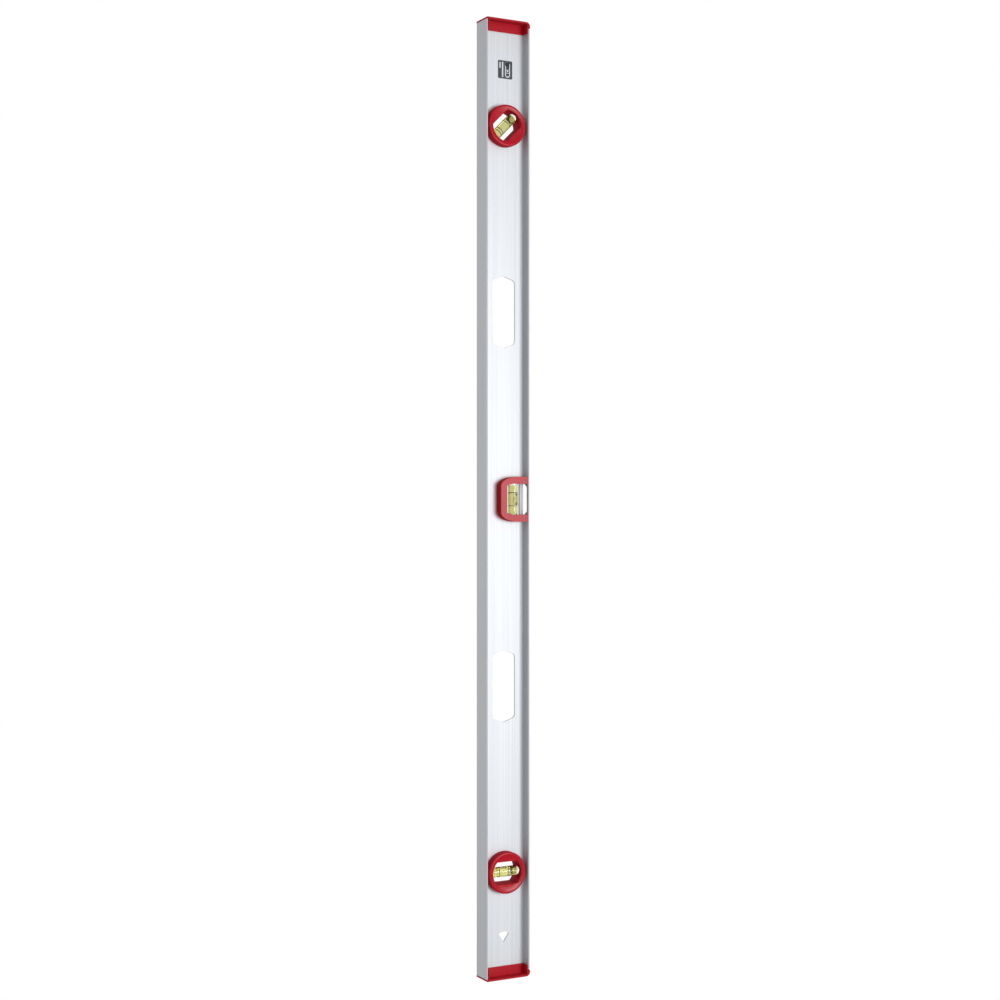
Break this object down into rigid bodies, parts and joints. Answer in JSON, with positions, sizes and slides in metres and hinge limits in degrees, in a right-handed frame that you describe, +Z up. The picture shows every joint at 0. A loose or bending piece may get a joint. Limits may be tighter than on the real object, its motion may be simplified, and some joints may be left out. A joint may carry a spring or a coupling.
{
  "type": "spirit level",
  "caption": "Long double-T beam level with a central levelling vial, a plumb vial, a slanted vial, hand holes, a hang hole and end caps.",
  "frame": {"origin": "centre of the base measuring face, on the surface that the level stands on", "axes": "+X along the level towards the plumb vial and the hang hole, +Y across the flanges towards the back, +Z up from the base measuring face to the top one"},
  "size_m": [1.2, 0.0286, 0.0616],
  "materials": {
    "beam": "satin anodised, extruded",
    "end_cap": "moulded ABS, satin",
    "housing": "moulded ABS, satin",
    "vial_acrylic": "clear polished acrylic",
    "vial_liquid": "clear yellow-green liquid",
    "bubble": "air bubble",
    "ring": "black"
  },
  "bodies": {
    "level": {"beam": "beam", "end_cap_left": "end_cap", "end_cap_right": "end_cap", "level_housing_front": "housing", "level_housing_back": "housing", "level_vial_tube": "vial_acrylic", "level_vial_plug": "vial_acrylic", "level_vial_liquid": "vial_liquid", "level_ring_left": "ring", "level_ring_right": "ring", "slant_housing_front": "housing", "slant_housing_back": "housing", "slant_vial_tube": "vial_acrylic", "slant_vial_plug": "vial_acrylic", "slant_vial_liquid": "vial_liquid", "slant_ring_left": "ring", "slant_ring_right": "ring", "plumb_housing_front": "housing", "plumb_housing_back": "housing", "plumb_vial_tube": "vial_acrylic", "plumb_vial_plug": "vial_acrylic", "plumb_vial_liquid": "vial_liquid", "plumb_ring_left": "ring", "plumb_ring_right": "ring"},
    "level_bubble": {"level_bubble": "bubble"},
    "slant_bubble": {"slant_bubble": "bubble"},
    "plumb_bubble": {"plumb_bubble": "bubble"}
  },
  "joints": [
    {"name": "level_bubble_slide", "type": "slide", "parent": "level", "child": "level_bubble", "axis": [1, 0, 0], "range_m": [-0.0104, 0.0104], "stiffness_N_per_m": 5},
    {"name": "slant_bubble_slide", "type": "slide", "parent": "level", "child": "slant_bubble", "axis": [0.7071, 0, -0.7071], "range_m": [0, 0.0258], "stiffness_N_per_m": 5, "springref_m": -0.001},
    {"name": "plumb_bubble_slide", "type": "slide", "parent": "level", "child": "plumb_bubble", "axis": [0, 0, -1], "range_m": [0, 0.0258], "stiffness_N_per_m": 5, "springref_m": -0.001}
  ]
}
